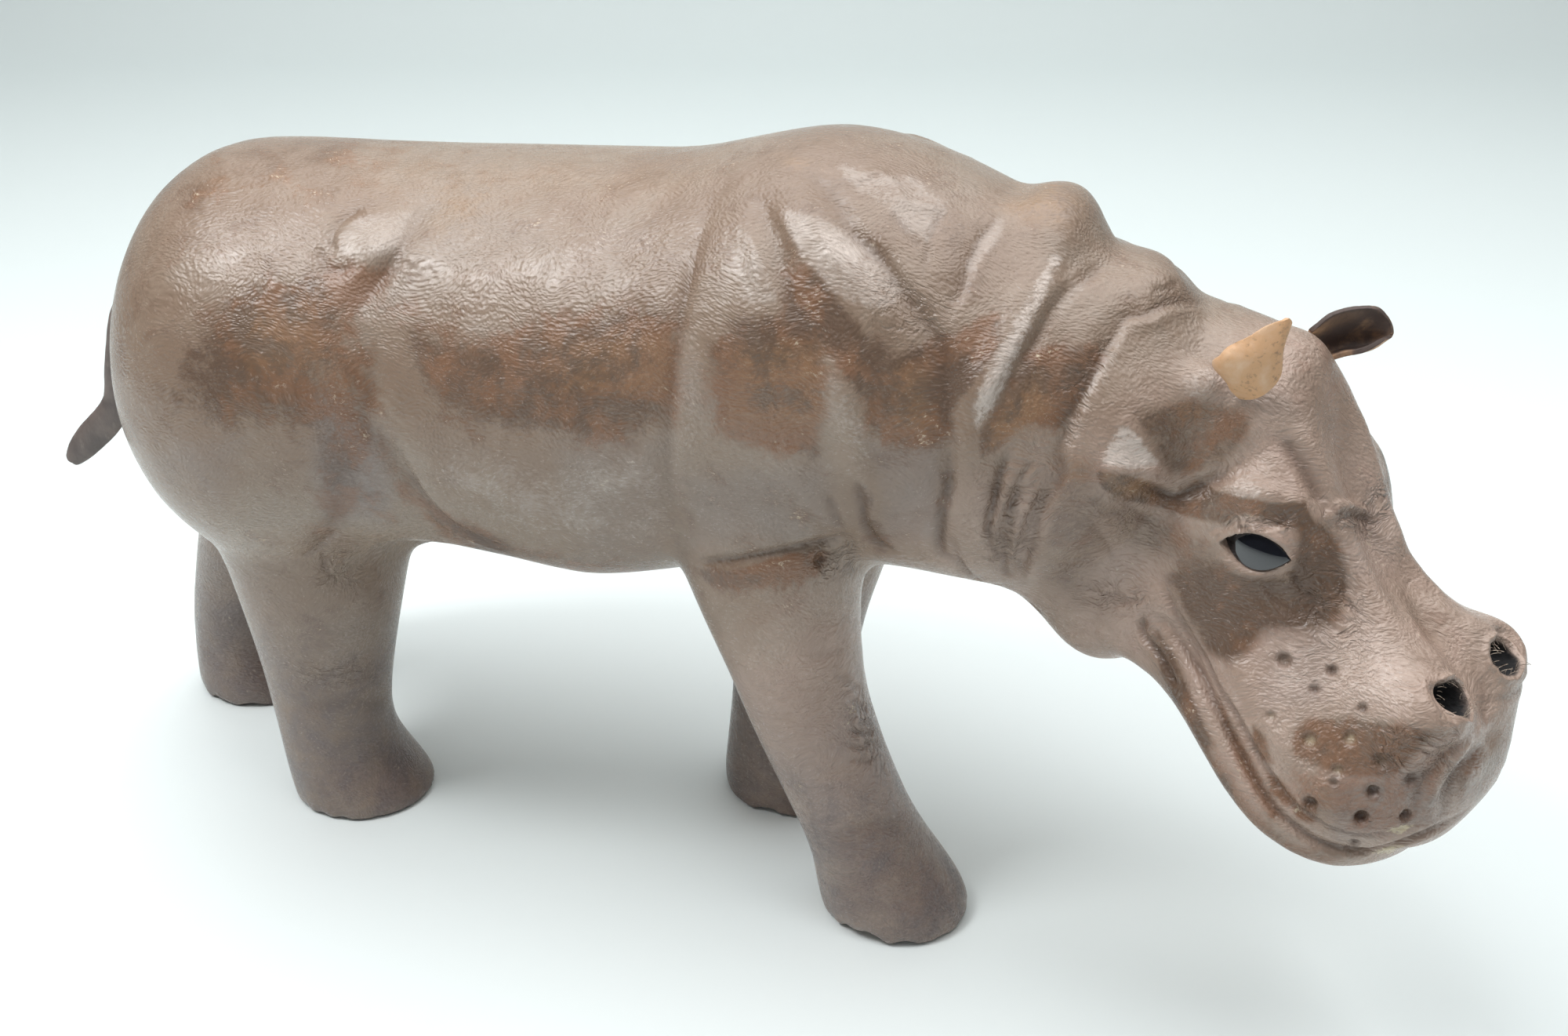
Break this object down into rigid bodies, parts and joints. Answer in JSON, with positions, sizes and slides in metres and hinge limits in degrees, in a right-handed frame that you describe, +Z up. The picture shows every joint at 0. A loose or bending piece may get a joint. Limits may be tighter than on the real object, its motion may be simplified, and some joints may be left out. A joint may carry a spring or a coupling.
{
  "type": "animal figurine",
  "caption": "Walking hippopotamus of moulded leather with its head lowered and turned, cupped leather ears, glass eyes and a flat leather tail; stands on its feet as an ornament",
  "frame": {"origin": "middle of the figure's bounding box in X and Y, on the ground plane under its soles", "axes": "X runs forward along the body towards the head, Y to the animal's left, Z up"},
  "size_m": [0.4002, 0.1284, 0.2066],
  "materials": {
    "body_leather": "mottled brown hide with a satin varnish",
    "ear_leather": "tan, nearly raw split leather",
    "tail_leather": "dark brown, satin",
    "eye_glass": "opaque black, polished"
  },
  "bodies": {
    "root": {"body": "body_leather", "ear_right": "ear_leather", "ear_left": "ear_leather", "eye_right": "eye_glass", "eye_left": "eye_glass", "tail": "tail_leather"}
  },
  "joints": []
}
